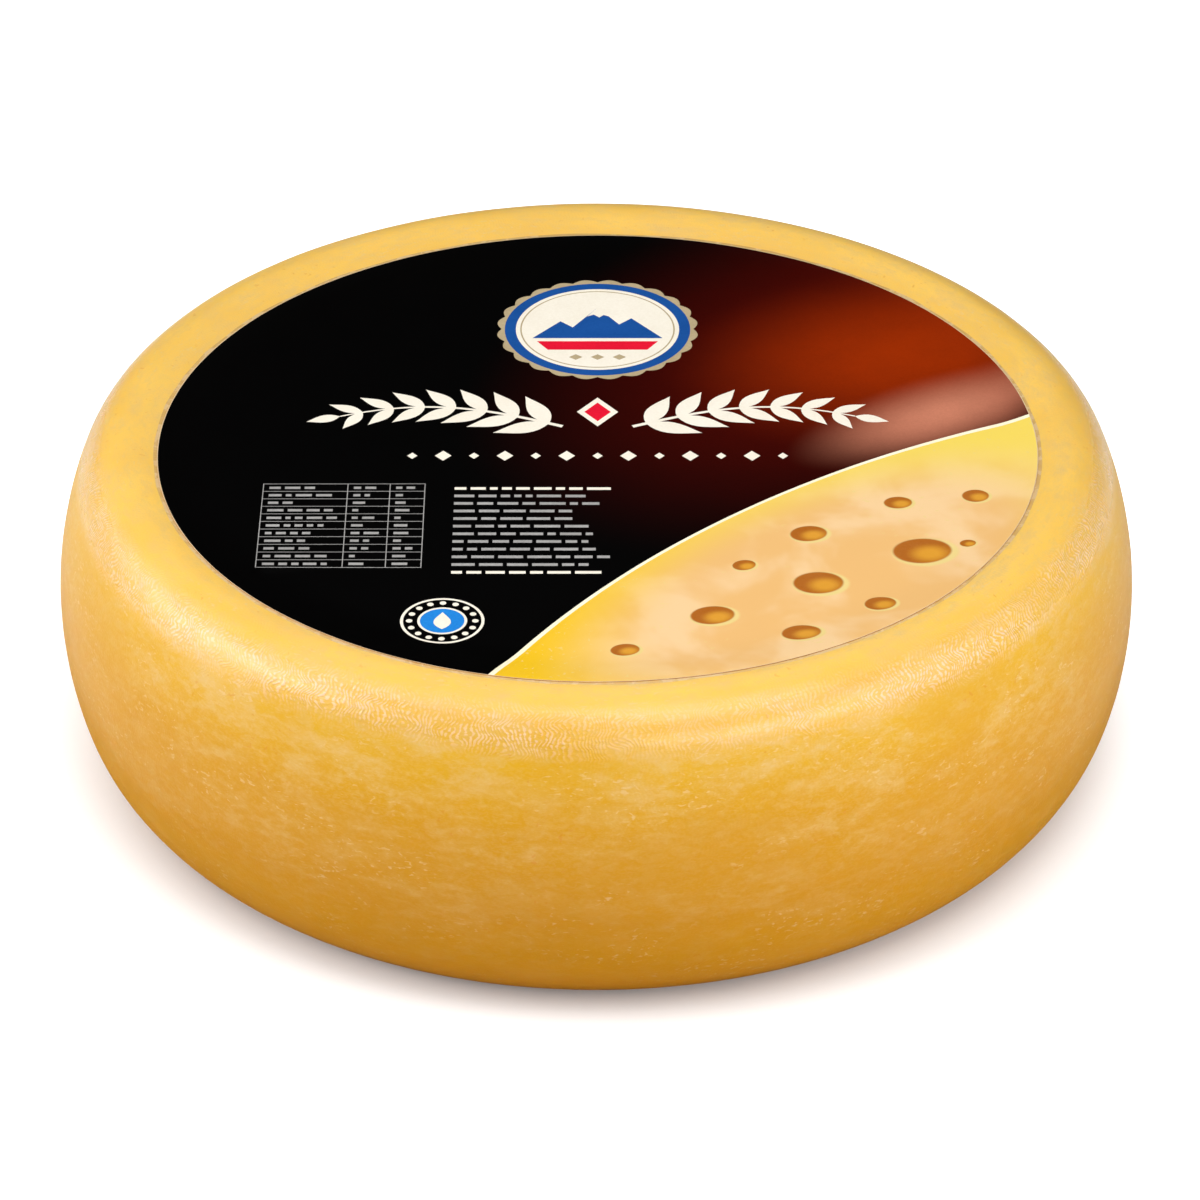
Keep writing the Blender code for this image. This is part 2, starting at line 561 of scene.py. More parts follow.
# %% Coating on the shoulder
COATED_FROM = (92 * MM, 100 * MM)          # heights between which it sets in
COATED_TO = (107.5 * MM, 103.5 * MM)       # heights between which it ends, from none to full
WORN_LEAST = 0.35                          # how much of it is left where it is worn most
# painted highlight: the colour of the glints painted on the ridge crests
GLINT = (1.0, 0.80, 0.76)
GLINT_SHARE = 0.34


def coated_zone(tree, grain, height):
    """Where the coating lies, first whole and then worn."""
    coated = times(tree, map_range(tree, height, *COATED_FROM, smooth=True),
                   map_range(tree, height, *COATED_TO, smooth=True))
    worn = use_group(tree, patches_group, grain, Size=0.016, Detail=3.0, Low=0.36, High=0.58)
    left = map_range(tree, worn["Mask"], 0.0, 1.0, WORN_LEAST, 1.0)
    return coated, times(tree, coated, left)


def paint_glints(tree, colour, ridges, worn_coat):
    """The colour with painted glints, pale highlights on the crests of the ridges."""
    glints = map_range(tree, ridges, 0.52, 0.74, 0.0, GLINT_SHARE, smooth=True)
    return mix_colours(tree, times(tree, glints, worn_coat), colour, GLINT)


print("coating from", round(COATED_FROM[0] / MM), "to", round(COATED_TO[0] / MM, 1), "mm up")

# %% [markdown]
# ## Rind material
# The rind is waxy: a little light goes a millimetre into it and comes out warmer, which is what
# Subsurface does. The side is dull and the coated shoulder glossier, with the ridges as a bump
# under a smooth Coat. Two soft reflections in one spot are what makes it look brushed and waxed.

# %% Rind material
SIDE_ROUGHNESS = (0.34, 0.44)              # outside the butter patches and inside them
COATED_ROUGHNESS = (0.22, 0.28)
COAT_WEIGHT = 0.6
RIDGE_HEIGHT = 0.20 * MM
RIDGE_LEAST = 0.12                         # share of that height left outside the coated band


def make_rind_material():
    material, tree, shader = new_material("rind_coated")
    grain = add(tree, "ShaderNodeAttribute", attribute_name="grain").outputs["Vector"]
    place = add(tree, "ShaderNodeTexCoord").outputs["Object"]
    parts = add(tree, "ShaderNodeSeparateXYZ")
    join(tree, place, parts.inputs[0])
    height = parts.outputs["Z"]
    ridges = use_group(tree, ridges_group, place, Grain=grain, Waves_Round=760.0,
                       Curl_Size=0.0050, Curl_Waves=7.0, Peel_Size=0.0009, Peel_Share=0.5)
    coated, worn_coat = coated_zone(tree, grain, height)
    colour, butter = paint_rind(tree, grain, place, height)
    # the base colour carries the painted glints on the ridge crests
    join(tree, paint_glints(tree, colour, ridges["Height"], worn_coat),
         shader.inputs["Base Color"])

    matt = map_range(tree, butter, 0.0, 1.0, *SIDE_ROUGHNESS)
    gloss = map_range(tree, butter, 0.0, 1.0, *COATED_ROUGHNESS)
    join(tree, map_range(tree, coated, 0.0, 1.0, matt, gloss), shader.inputs["Roughness"])
    join(tree, times(tree, coated, COAT_WEIGHT), shader.inputs["Coat Weight"])
    set_sockets(shader, Coat_Roughness=0.30, Specular_IOR_Level=0.30, Subsurface_Weight=0.2,
                Subsurface_Radius=(1.0, 0.45, 0.15), Subsurface_Scale=1.2 * MM)
    depth = map_range(tree, worn_coat, 0.0, 1.0, RIDGE_LEAST, 1.0)
    add_bump(tree, shader, times(tree, ridges["Height"], depth), RIDGE_HEIGHT)
    return material


rind_material = make_rind_material()
rind.data.materials.append(rind_material)
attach(rind, "root")
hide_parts("cheese_wheel")
print("rind material:", len(rind_material.node_tree.nodes), "nodes")

# %% [markdown]
# ## Shapes of the print
# The label is one sheet with fields of ink. Each field could be a mask in a shader, but then its
# edge is only as sharp as a texture. Here each is an outline, a list of points in the label's own
# plane, and the sheet's mesh is cut along all of them. These helpers make the outlines.

# %% Outline helpers


def polar(centre, radius, turn):
    return (centre[0] + radius * math.cos(turn), centre[1] + radius * math.sin(turn))


def ring_outline(centre, radius, steps, lobes=0, depth=0.0):
    """A circle, or with lobes a scalloped one."""
    turns = [math.tau * step / steps for step in range(steps)]
    return [polar(centre, radius + depth * abs(math.sin(turn * lobes / 2)), turn)
            for turn in turns]


def bar_outline(left, bottom, width, height):
    return [(left, bottom), (left + width, bottom), (left + width, bottom + height),
            (left, bottom + height)]


def lozenge_outline(centre, half_width, half_height):
    return [(centre[0] + half_width, centre[1]), (centre[0], centre[1] + half_height),
            (centre[0] - half_width, centre[1]), (centre[0], centre[1] - half_height)]


def leaf_outline(root, turn, length, width, steps=9):
    """A pointed leaf that grows from its root, fuller near the root than at the tip."""
    upper = []
    lower = []
    for step in range(steps + 1):
        share = step / steps
        half = width / 2 * math.sin(math.pi * share ** 0.8) ** 1.15
        x, y = polar(root, length * share, turn)
        upper.append((x - half * math.sin(turn), y + half * math.cos(turn)))
        lower.append((x + half * math.sin(turn), y - half * math.cos(turn)))
    return lower + upper[-2:0:-1]


def stem_outline(spine, widths):
    """A stroke along a spine of points, as wide as said at each."""
    left = []
    right = []
    for number, (x, y) in enumerate(spine):
        before = spine[max(number - 1, 0)]
        after = spine[min(number + 1, len(spine) - 1)]
        run = Vector((after[0] - before[0], after[1] - before[1])).normalized()
        half = widths[number] / 2
        left.append((x - run.y * half, y + run.x * half))
        right.append((x + run.y * half, y - run.x * half))
    return right + left[::-1]


def mirrored(outline):
    """The same outline on the other side of the label's middle, still turning the same way."""
    return [(-x, y) for x, y in reversed(outline)]


print("a leaf has", len(leaf_outline((0, 0), 0, 0.02, 0.006)), "points")

# %% [markdown]
# ## Layout of the print
# The design is a plain one for a grocer's label, pale shapes and a picture on a dark ground: a
# scalloped badge with peaks, two sprigs of leaves, a row of lozenges, a crescent of cheese, ruled
# rows and blank bars.
# `fields` lists (ink, outline) from the bottom field to the top one. The upper one wins.

# %% Layout
EDGE_BORDER = 0.28 * MM
PRINT_RADIUS = LABEL_RADIUS - EDGE_BORDER
DISC_STEPS = 480
fields = []


def field(ink, outline):
    fields.append((ink, outline))


field("bare paper", ring_outline((0, 0), LABEL_RADIUS, DISC_STEPS))
field("dark ground", ring_outline((0, 0), PRINT_RADIUS, DISC_STEPS))
print("printed to", round(PRINT_RADIUS / MM, 2), "mm from the label's middle")

# %% [markdown]
# The crescent's outer edge is the edge of the print itself. Its inner edge is an arc through the
# crescent's two tips and one point between them. A pale cut edge follows that arc.

# %% Crescent of cheese
CRESCENT_FROM = math.radians(-104)
CRESCENT_TO = math.radians(8)
CRESCENT_REACH = 58 * MM          # how near the inner edge comes to the label's middle
CUT_EDGE = 1.1 * MM
TIP_SLIP = 1.6                    # how many cut edges wide the pale line is at the two tips


def arc_through(first, between, last, steps):
    """Points on the circle through three points, whose centre is (ux, uy)."""
    (ax, ay), (bx, by), (cx, cy) = first, between, last
    d = 2 * (ax * (by - cy) + bx * (cy - ay) + cx * (ay - by))
    a2, b2, c2 = ax * ax + ay * ay, bx * bx + by * by, cx * cx + cy * cy
    ux = (a2 * (by - cy) + b2 * (cy - ay) + c2 * (ay - by)) / d
    uy = (a2 * (cx - bx) + b2 * (ax - cx) + c2 * (bx - ax)) / d
    start = math.atan2(ay - uy, ax - ux)
    sweep = math.atan2(cy - uy, cx - ux) - start
    middle_sweep = (math.atan2(by - uy, bx - ux) - start) % math.tau
    sweep %= math.tau
    if middle_sweep > sweep:
        sweep -= math.tau
    radius = math.hypot(ax - ux, ay - uy)
    return [(ux + radius * math.cos(start + sweep * s / steps),
             uy + radius * math.sin(start + sweep * s / steps)) for s in range(steps + 1)]


def crescent_outline(from_turn, to_turn, reach):
    rim = []
    first = math.ceil(from_turn / math.tau * DISC_STEPS)
    last = math.floor(to_turn / math.tau * DISC_STEPS)
    for step in range(first, last + 1):
        turn = math.tau * step / DISC_STEPS
        rim.append(polar((0, 0), PRINT_RADIUS, turn))
    between = polar((0, 0), reach, (from_turn + to_turn) / 2)
    return rim + arc_through(rim[-1], between, rim[0], 90)[1:-1]


field("cut edge", crescent_outline(CRESCENT_FROM, CRESCENT_TO, CRESCENT_REACH))
slip = CUT_EDGE / PRINT_RADIUS * TIP_SLIP
field("cheese picture", crescent_outline(CRESCENT_FROM + slip, CRESCENT_TO - slip,
                                         CRESCENT_REACH + CUT_EDGE))
print("crescent from", round(math.degrees(CRESCENT_FROM)), "to", round(math.degrees(CRESCENT_TO)),
      "degrees")

# %% [markdown]
# The badge is a stack of discs, from the gold scallops inwards, with peaks drawn as one jagged
# outline inside it and small lozenges below them.

# %% Badge
BADGE_CENTRE = (0.0, 74 * MM)
BADGE_RADIUS = 31 * MM


def make_badge():
    x, y = BADGE_CENTRE
    field("gold", ring_outline(BADGE_CENTRE, BADGE_RADIUS, 192, lobes=24, depth=1.6 * MM))
    for ink, inset in (("blue", 1.0), ("cream", 4.6), ("gold", 6.0), ("cream", 6.5)):
        field(ink, ring_outline(BADGE_CENTRE, BADGE_RADIUS - inset * MM, 120))
    peaks = ((-21, -6), (-12, 5), (-8, 1), (0, 14), (7, 3), (11, 7), (21, -6))
    field("blue", [(x + px * MM, y + py * MM) for px, py in ((-21, -6), *peaks[:0:-1])])
    snow = ((0, 14), (-3.4, 8.2), (-1.2, 9.4), (0.6, 7.6), (2.0, 9.2), (3.8, 8.2))
    field("cream", [(x + px * MM, y + py * MM) for px, py in snow])
    field("red", [(x - 19.5 * MM, y - 8 * MM), (x - 16 * MM, y - 13.5 * MM),
                  (x + 16 * MM, y - 13.5 * MM), (x + 19.5 * MM, y - 8 * MM)])
    for step in (-1, 0, 1):
        field("gold", lozenge_outline((x + step * 7 * MM, y - 18.2 * MM), 2.2 * MM, 1.8 * MM))


make_badge()
print("badge", round(2 * BADGE_RADIUS / MM), "mm across")

# %% [markdown]
# Each sprig is a thin curved stem with leaves in pairs, which grow shorter towards the tip. The
# right one is drawn, and the left one is its mirror image.

# %% Sprigs and lozenges
SPRIG_START = (11 * MM, 12 * MM)
SPRIG_LENGTH = 70 * MM
SPRIG_RISE = 13 * MM
SPRIG_LEAVES = 7
LEAF_SPREAD = math.radians(42)
LEAF_FULLNESS = 0.36              # a leaf's width as a share of its length
STEM_STEPS = 24


def sprig_point(share):
    """The stem rises, then bends down again towards its tip."""
    return (SPRIG_START[0] + SPRIG_LENGTH * share,
            SPRIG_START[1] + SPRIG_RISE * math.sin(share * 2.5) - 1.5 * MM * share)


def make_sprigs():
    spine = [sprig_point(step / STEM_STEPS) for step in range(STEM_STEPS + 1)]
    widths = [(1.5 - 0.9 * step / STEM_STEPS) * MM for step in range(STEM_STEPS + 1)]
    outlines = [stem_outline(spine, widths)]
    for leaf in range(SPRIG_LEAVES):
        share = 0.06 + 0.84 * leaf / (SPRIG_LEAVES - 1)
        root = sprig_point(share)
        ahead = sprig_point(share + 0.02)
        heading = math.atan2(ahead[1] - root[1], ahead[0] - root[0])
        length = (19 - 8 * share) * MM
        for way in (1, -1):
            outlines.append(leaf_outline(root, heading + way * LEAF_SPREAD, length,
                                         length * LEAF_FULLNESS))
    outlines.append(leaf_outline(sprig_point(1.0), heading, 11 * MM, 4.5 * MM))
    for outline in outlines:
        field("cream", outline)
        field("cream", mirrored(outline))


make_sprigs()
field("cream", lozenge_outline((0, 21 * MM), 6.5 * MM, 9 * MM))
field("red", lozenge_outline((0, 21 * MM), 4.2 * MM, 5.8 * MM))
for number in range(-6, 7):
    half_size = (2.6 * MM, 3.0 * MM) if number % 2 else (1.6 * MM, 1.9 * MM)
    field("cream", lozenge_outline((number * 9.6 * MM, -6 * MM), *half_size))
print("fields so far:", len(fields))

# %% [markdown]
# Two quiet blocks of grey balance the picture. They are rows of blank bars of uneven length, which
# a seeded random draw gives. One block is set in ruled rows and columns, the other in free lines.

# %% Rows and bars
LINE_PITCH = 4.4 * MM
BAR_HEIGHT = 1.5 * MM
RULED_BAR_HEIGHT = 1.35 * MM
HAIR_LINE = 0.28 * MM
COLUMN_STARTS = (0.0, 0.52, 0.78)  # shares of the ruled block's width
draw = random.Random(11)


def bar_line(left, right, base, shortest, longest, gap=1.3 * MM, height=BAR_HEIGHT, ink="grey"):
    """One line of bars with small gaps, from left until right is reached."""
    x = left
    while True:
        width = draw.uniform(shortest, longest)
        if x + width > right:
            return
        field(ink, bar_outline(x, base, width, height))
        x += width + gap


def make_ruled_block(left, top, width, rows):
    for row in range(rows + 1):
        field("grey", bar_outline(left, top - row * LINE_PITCH, width, HAIR_LINE))
    for column in (*COLUMN_STARTS, 1.0):
        x = left + column * width - (HAIR_LINE if column == 1.0 else 0)
        field("grey", bar_outline(x, top - rows * LINE_PITCH, HAIR_LINE,
                                  rows * LINE_PITCH + HAIR_LINE))
    for row in range(rows):
        base = top - (row + 1) * LINE_PITCH + 1.55 * MM
        for start, end in zip(COLUMN_STARTS, (*COLUMN_STARTS[1:], 1.0)):
            cell_left = left + (start + 0.04) * width
            cell_right = left + (end - 0.03) * width
            reach = cell_left + (cell_right - cell_left) * draw.uniform(0.55, 1.0)
            bar_line(cell_left, reach, base, 1.6 * MM, 5 * MM, height=RULED_BAR_HEIGHT)


def make_free_block(left, top, right, rows):
    for row in range(rows):
        ink = "cream" if row in (0, rows - 1) else "grey"
        reach = right - draw.uniform(0, 9) * MM
        bar_line(left, reach, top - (row + 1) * LINE_PITCH, 2 * MM, 8 * MM, ink=ink)


make_ruled_block(-103 * MM, -23 * MM, 50 * MM, 11)
make_free_block(-44 * MM, -22 * MM, 6 * MM, 12)
print("fields so far:", len(fields))

# %% [markdown]
# A small round device fills the corner below the free lines: a ring, a blue disc and a pale drop.

# %% Small round device
DEVICE_CENTRE = (-46 * MM, -101 * MM)


def make_device():
    x, y = DEVICE_CENTRE
    field("cream", ring_outline(DEVICE_CENTRE, 12.5 * MM, 72))
    field("dark ground", ring_outline(DEVICE_CENTRE, 11.6 * MM, 72))
    for number in range(16):
        turn = math.tau * number / 16
        field("cream", ring_outline(polar(DEVICE_CENTRE, 9.8 * MM, turn), 1.0 * MM, 12))
    field("cream", ring_outline(DEVICE_CENTRE, 7.4 * MM, 60))
    field("bright blue", ring_outline(DEVICE_CENTRE, 6.6 * MM, 60))
    field("cream", leaf_outline((x, y - 4.6 * MM), math.pi / 2, 9.4 * MM, 5.2 * MM))


make_device()
print("fields in all:", len(fields))

# %% [markdown]
# ## The label's mesh
# `delaunay_2d_cdt` takes points and outlines, cuts them where they cross, and fills the plane
# with triangles that never straddle an outline. It also says which outlines each triangle lies
# in, so the last of them gives its ink. Loose points between them let the sheet bend with the
# top face. The heights come from the skin below, so the label lies on it everywhere.

# %% Cut the sheet
INKS = ["dark ground", "cream", "gold", "blue", "bright blue", "red", "grey", "cheese picture",
        "cut edge", "bare paper"]
LABEL_LIFT = 0.30 * MM            # from the skin to the label's upper face
SHEET_THICKNESS = 0.26 * MM
LATTICE = 6 * MM
BORDER_RINGS = (131 * MM, 127 * MM, 122 * MM, 117 * MM)
BORDER_STEPS = 150
ROW_SHARE = 0.87                  # the grid's rows lie this share of its pitch apart


def lattice_points():
    """Loose points that let the sheet bend: rings near its edge and a grid inside them."""
    points = []
    for number, radius in enumerate(BORDER_RINGS):
        for step in range(BORDER_STEPS):
            turn = math.tau * (step + 0.5 * (number % 2)) / BORDER_STEPS
            points.append(polar((0, 0), radius, turn))
    reach = int(BORDER_RINGS[-1] / LATTICE)
    for row in range(-reach, reach + 1):
        for column in range(-reach, reach + 1):
            x = (column + 0.5 * (row % 2)) * LATTICE
            y = row * LATTICE * ROW_SHARE
            if math.hypot(x, y) < BORDER_RINGS[-1] - LATTICE * 0.6:
                points.append((x, y))
    return points


def make_label():
    flat = []
    faces = []
    for _, outline in fields:
        faces.append(list(range(len(flat), len(flat) + len(outline))))
        flat += [Vector(point) for point in outline]
    flat += [Vector(point) for point in lattice_points()]
    cut = geometry.delaunay_2d_cdt(flat, [], faces, 1, 1e-7)
    points, triangles, inside = cut[0], cut[2], cut[5]
    lifted = []
    for point in points:
        x, y = point.x + LABEL_CENTRE.x, point.y + LABEL_CENTRE.y
        lifted.append((point.x, point.y, rind_top(x, y) + LABEL_LIFT))
    piece = new_piece("label_sheet", lifted, [list(face) for face in triangles])
    inks = [INKS.index(fields[max(owners)][0]) for owners in inside]
    piece.data.polygons.foreach_set("material_index", inks)
    piece.location = (*LABEL_CENTRE, 0.0)
    return piece


label = make_label()
print("label sheet:", len(label.data.vertices), "points,", len(label.data.polygons), "triangles")

# %% [markdown]
# The sheet has a thickness, and its cut edge shows as a thin amber line: its dark amber colour is
# painted shade along the label's edge. Solidify thickens it downwards and gives the rim and the
# underside another material: its offset is clamped to the last slot.

# %% Thicken the sheet
thickness = label.modifiers.new("sheet thickness", "SOLIDIFY")
thickness.thickness = SHEET_THICKNESS
thickness.offset = -1.0
thickness.material_offset = len(INKS)
thickness.material_offset_rim = len(INKS)
print("sheet thickness", SHEET_THICKNESS / MM, "mm")

# %% [markdown]
# ## Groups for print
# `Print Grain` is the faint unevenness of ink on coated paper, with a height for the bump.
# `Soft Spot` is a soft-edged ellipse: with its own place, size and turn it makes the copper glow,
# the light streak in it and the shading of every hole in the printed cheese.

# %% Groups: Print Grain and Soft Spot


def make_print_grain_group():
    group, given, result = new_group(
        "Print Grain",
        [("Vector", VECTOR, None), ("Size", FLOAT, 0.0008)],
        [("Shade", FLOAT), ("Height", FLOAT)])
    fine = noise_of_size(group, given["Vector"], given["Size"], Detail=2.0, Roughness=0.6)
    broad = noise_of_size(group, given["Vector"], given["Size"], Scale=0.06, Detail=2.0,
                          Roughness=0.5)
    both = math_node(group, "ADD", fine, broad)
    join(group, map_range(group, both, 0.7, 1.3), result["Shade"])
    join(group, fine, result["Height"])
    return group


def make_spot_group():
    group, given, result = new_group(
        "Soft Spot",
        [("Vector", VECTOR, None), ("Centre X", FLOAT, 0.0), ("Centre Y", FLOAT, 0.0),
         ("Half Length", FLOAT, 0.01), ("Half Width", FLOAT, 0.01), ("Turn", FLOAT, 0.0),
         ("Edge", FLOAT, 0.5)],
        [("Mask", FLOAT)])
    parts = add(group, "ShaderNodeSeparateXYZ")
    join(group, given["Vector"], parts.inputs[0])
    dx = math_node(group, "SUBTRACT", parts.outputs["X"], given["Centre X"])
    dy = math_node(group, "SUBTRACT", parts.outputs["Y"], given["Centre Y"])
    cos = math_node(group, "COSINE", given["Turn"])
    sin = math_node(group, "SINE", given["Turn"])
    along = math_node(group, "ADD", times(group, dx, cos), times(group, dy, sin))
    across = math_node(group, "SUBTRACT", times(group, dy, cos), times(group, dx, sin))
    along = math_node(group, "DIVIDE", along, given["Half Length"])
    across = math_node(group, "DIVIDE", across, given["Half Width"])
    square = math_node(group, "ADD", times(group, along, along), times(group, across, across))
    reach = math_node(group, "SQRT", square)
    inner = math_node(group, "SUBTRACT", 1.0, given["Edge"])
    mask = map_range(group, reach, inner, 1.0, 1.0, 0.0, smooth=True)
    join(group, mask, result["Mask"])
    return group


def soft_spot(tree, place, x, y, half_length, half_width, turn, edge):
    """A spot's mask. Edge is the share of its radius over which it fades out."""
    return use_group(tree, spot_group, place, Centre_X=x, Centre_Y=y, Half_Length=half_length,
                     Half_Width=half_width, Turn=turn, Edge=edge)["Mask"]


print_grain_group = make_print_grain_group()
spot_group = make_spot_group()
print("groups:", print_grain_group.name, "and", spot_group.name)

# %% [markdown]
# ## Inks
# Every ink lies on the same coated paper, so every ink material shares its grain, its fine bump
# and a low gloss. What differs is the colour, which a function handed to `make_ink` paints, and
# the roughness, which is higher where the paper is bare.

# %% Plain inks
INK_ROUGHNESS = 0.34
PAPER_ROUGHNESS = 0.5
ROUGHNESS_SPREAD = 0.04
INK_GLOSS = 0.02
INK_BUMP = 0.01 * MM


def make_ink(name, paint, roughness=INK_ROUGHNESS):
    """An ink. paint(tree, place, shade) gives the socket of its colour."""
    material, tree, shader = new_material(name)
    place = add(tree, "ShaderNodeTexCoord").outputs["Object"]
    grain = use_group(tree, print_grain_group, place, Size=0.0008)
    join(tree, paint(tree, place, grain["Shade"]), shader.inputs["Base Color"])
    rough = map_range(tree, grain["Shade"], 0.0, 1.0, roughness - ROUGHNESS_SPREAD,
                      roughness + ROUGHNESS_SPREAD)
    join(tree, rough, shader.inputs["Roughness"])
    set_sockets(shader, Specular_IOR_Level=INK_GLOSS)
    add_bump(tree, shader, grain["Height"], INK_BUMP, strength=0.5)
    return material


def plain(light, dark):
    """A colour that wanders between two near shades with the grain."""
    return lambda tree, place, shade: mix_colours(tree, shade, dark, light)


inks = {
    "cream": make_ink("ink_cream", plain((0.92, 0.86, 0.74), (0.86, 0.79, 0.66))),
    "gold": make_ink("ink_gold", plain((0.50, 0.40, 0.24), (0.42, 0.33, 0.19))),
    "blue": make_ink("ink_blue", plain((0.012, 0.085, 0.33), (0.009, 0.07, 0.28))),
    "bright blue": make_ink("ink_bright_blue", plain((0.02, 0.25, 0.72), (0.015, 0.20, 0.62))),
    "red": make_ink("ink_red", plain((0.80, 0.010, 0.035), (0.70, 0.008, 0.03))),
    "grey": make_ink("ink_grey", plain((0.42, 0.41, 0.40), (0.30, 0.29, 0.28))),
    "cut edge": make_ink("ink_cut_edge", plain((0.95, 0.90, 0.72), (0.93, 0.84, 0.58))),
    "bare paper": make_ink("bare_paper", plain((0.74, 0.56, 0.34), (0.66, 0.47, 0.26)),
                           PAPER_ROUGHNESS),
    # painted shade: the rim and underside are a dark amber that stands for the shade along the
    # label's edge
    "shaded sheet edge": make_ink("sheet_edge_painted_shade", plain((0.42, 0.17, 0.04), (0.34, 0.12, 0.025)),
                           PAPER_ROUGHNESS),
}
print("plain inks:", ", ".join(inks))

# %% [markdown]
# The dark ground isn't flat. A copper glow rises from the black on the right, as if a lamp stood
# behind the sheet, and a light streak crosses it. Three soft spots paint it.

# %% Dark ground
GROUND_BLACK = (0.0003, 0.0002, 0.0002)
GROUND_BROWN = (0.075, 0.0022, 0.0002)
GROUND_COPPER = (0.31, 0.0245, 0.0004)
GROUND_LIGHT = (0.58, 0.21, 0.125)
# place, half length and half width in metres, then turn in radians and soft edge
BROWN_SPOT = (0.090, 0.064, 0.160, 0.106, 0.75, 0.95)
COPPER_SPOT = (0.099, 0.058, 0.084, 0.060, 0.35, 0.97)
STREAK_SPOT = (0.108, 0.020, 0.058, 0.023, 0.56, 1.0)
GRAIN_SHARE = 0.12


def paint_ground(tree, place, shade):
    colour = GROUND_BLACK
    for spot, tint in ((BROWN_SPOT, GROUND_BROWN), (COPPER_SPOT, GROUND_COPPER),
                       (STREAK_SPOT, GROUND_LIGHT)):
        colour = mix_colours(tree, soft_spot(tree, place, *spot), colour, tint)
    return mix_colours(tree, times(tree, shade, GRAIN_SHARE), colour, GROUND_BLACK)


inks["dark ground"] = make_ink("ink_dark_ground", paint_ground)
print("dark ground:", len(inks["dark ground"].node_tree.nodes), "nodes")

# %% [markdown]
# The printed cheese is peach in the middle. Round that it is gold near the front and lemon further
# up. Each hole is three soft spots: a pale rim, a dark hollow, and a lighter floor towards the
# lower right. A hole's numbers are its place, half length and half width in mm, and its turn.

# %% Printed cheese
HOLES = ((64, -52, 6.0, 4.6, 0.2), (92, -34, 4.6, 3.6, 0.1), (98, -62, 9.5, 7.4, 0.15),
         (66, -80, 8.0, 6.4, 0.1), (44, -70, 3.8, 3.0, 0.3), (34, -98, 7.0, 5.2, 0.2),
         (84, -92, 5.0, 4.2, 0.1), (60, -108, 6.2, 4.6, 0.15), (8, -117, 4.6, 3.4, 0.2),
         (116, -30, 4.4, 3.8, 0.1), (112, -58, 2.6, 2.2, 0.0))
PICTURE_PEACH = (0.80, 0.470, 0.175)
PICTURE_CREAM = (0.86, 0.590, 0.310)
PICTURE_GOLD = (0.84, 0.510, 0.016)
PICTURE_LEMON = (0.86, 0.650, 0.110)
HOLE_RIM = (0.80, 0.62, 0.24)
HOLE_DARK = (0.40, 0.115, 0.012)
HOLE_FLOOR = (0.68, 0.31, 0.03)
HEART_RADIUS = 105 * MM
HEART_SIZE = (112 * MM, 54 * MM)
LEMON_HEIGHTS = (-120 * MM, 0.0)


def paint_hole(tree, place, colour, x, y, length, width, turn):
    """The colour with one hole on it. All its sizes are metres here."""
    rim = soft_spot(tree, place, x + 0.10 * length, y - 0.10 * width,
                    length * 1.16, width * 1.16, turn, 0.16)
    hollow = soft_spot(tree, place, x, y, length, width, turn, 0.12)
    floor = soft_spot(tree, place, x + 0.24 * length, y - 0.20 * width,
                      length * 0.85, width * 0.85, turn, 0.75)
    inside = mix_colours(tree, floor, HOLE_DARK, HOLE_FLOOR)
    return mix_colours(tree, hollow, mix_colours(tree, rim, colour, HOLE_RIM), inside)


def paint_cheese(tree, place, shade):
    clouds = use_group(tree, patches_group, place, Size=0.030, Detail=3.0, Low=0.4, High=0.65)
    strokes = use_group(tree, flecks_group, place, Size=0.0016, Cut=0.66, Softness=0.08,
                        Field_Size=0.03)
    colour = mix_colours(tree, clouds["Mask"], PICTURE_PEACH, PICTURE_CREAM)
    half_way = (CRESCENT_FROM + CRESCENT_TO) / 2
    heart = soft_spot(tree, place, HEART_RADIUS * math.cos(half_way),
                      HEART_RADIUS * math.sin(half_way), *HEART_SIZE, half_way + math.pi / 2, 0.46)
    parts = add(tree, "ShaderNodeSeparateXYZ")
    join(tree, place, parts.inputs[0])
    far_up = map_range(tree, parts.outputs["Y"], *LEMON_HEIGHTS, smooth=True)
    colour = mix_colours(tree, heart, mix_colours(tree, far_up, PICTURE_GOLD, PICTURE_LEMON),
                         colour)
    colour = mix_colours(tree, times(tree, strokes["Mask"], 0.5), colour, HOLE_RIM)
    for x, y, length, width, turn in HOLES:
        colour = paint_hole(tree, place, colour, x * MM, y * MM, length * MM, width * MM, turn)
    return mix_colours(tree, times(tree, shade, 0.06), colour, PICTURE_PEACH)


inks["cheese picture"] = make_ink("ink_cheese_picture", paint_cheese)
for ink in (*INKS, "shaded sheet edge"):
    label.data.materials.append(inks[ink])
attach(label, "root")
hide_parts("label")
print("printed cheese:", len(inks["cheese picture"].node_tree.nodes), "nodes,", len(HOLES), "holes")

# %% [markdown]
# ## Bead of coating
# The coating was brushed on over the label's edge and drew up against it, as water does against
# a glass. It dried as a low pale bead all round. A curve with a bevel could make it, but it has
# to lie on the uneven skin and to swell and thin by itself, so its rings are worked out here.

# %% Bead mesh
BEAD_SEGMENTS = 720
BEAD_WIDTH = 1.4 * MM
BEAD_HEIGHT = 0.16 * MM
BEAD_STEPS = 8
BEAD_INSET = 0.06 * MM            # how far the bead starts inside the label's edge
BEAD_SINK = 0.03 * MM             # how far its outer edge lies under the skin


def skin_height(x, y):
    """Height of the skin near the label's edge, also where it has begun to turn down."""
    radius = math.hypot(x, y)
    if radius <= CREST_RADIUS:
        return rind_top(x, y)
    arc = SIDE_ARCS[-1]
    height = CREST_HEIGHT - arc + math.sqrt(arc * arc - (radius - CREST_RADIUS) ** 2)
    return height + relief(Vector((x, y, height)))


